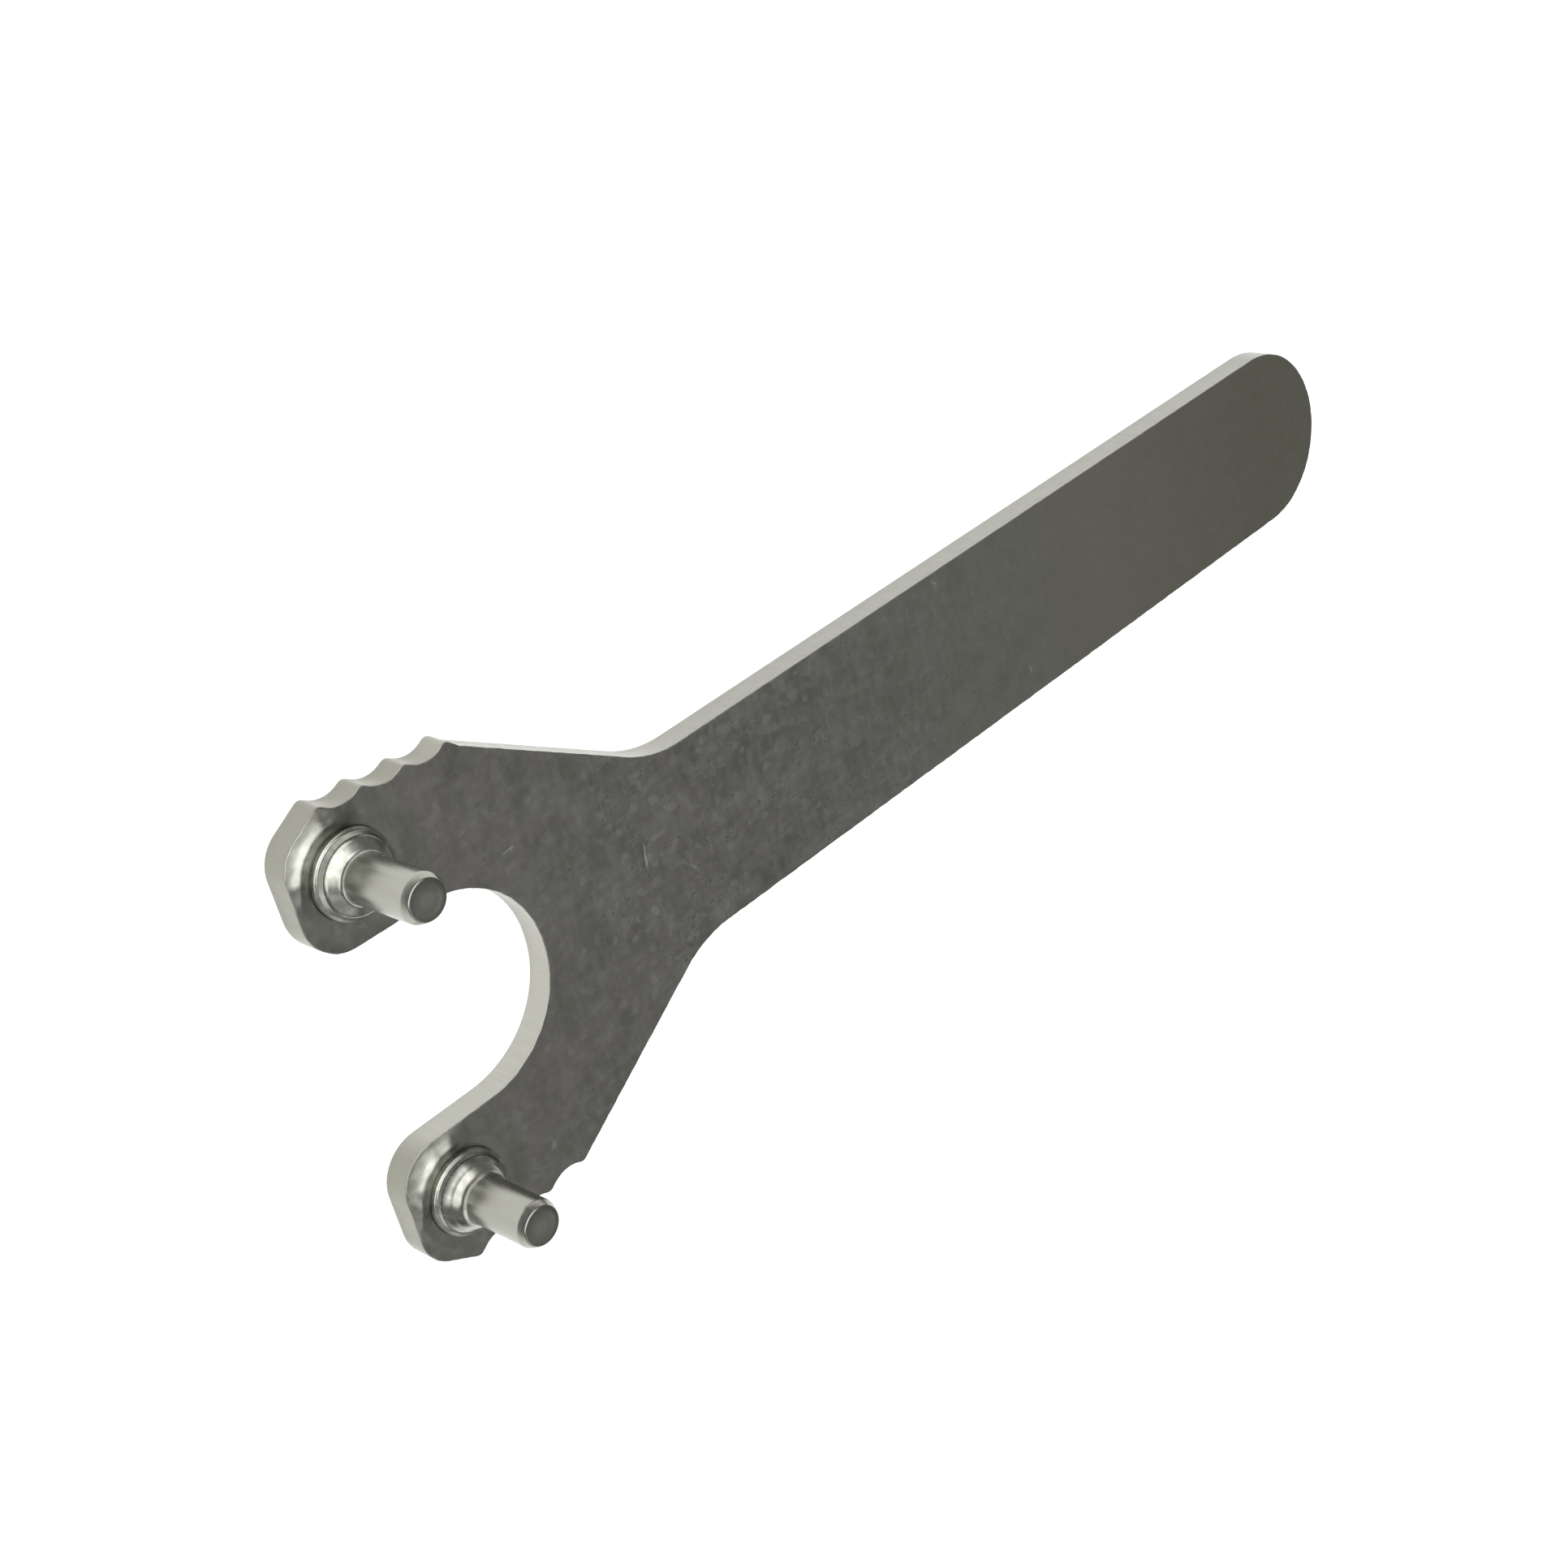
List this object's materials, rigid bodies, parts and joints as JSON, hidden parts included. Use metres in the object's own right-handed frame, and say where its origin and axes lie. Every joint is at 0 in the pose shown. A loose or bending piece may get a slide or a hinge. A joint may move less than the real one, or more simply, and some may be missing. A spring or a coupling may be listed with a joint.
{
  "type": "case back opener",
  "caption": "Flat forked pin spanner: shouldered pins staked in the arm tips engage holes in a case back or ring nut, turned by a long round-ended handle.",
  "frame": {"origin": "middle of the bounding box's underside, on the plate's flat back face under the handle", "axes": "+X along the handle from the fork to the round end, +Y across the arms towards the right pin, +Z out of the plate's face along the pins"},
  "size_m": [0.1486, 0.0492, 0.014],
  "materials": {
    "plated_sheet": "satin zinc-nickel plated steel sheet, warm dark grey, faintly mottled",
    "turned_steel": "bright turned steel with fine tool rings"
  },
  "bodies": {
    "root": {"spanner_plate": "plated_sheet", "right_pin": "turned_steel", "left_pin": "turned_steel"}
  },
  "joints": []
}
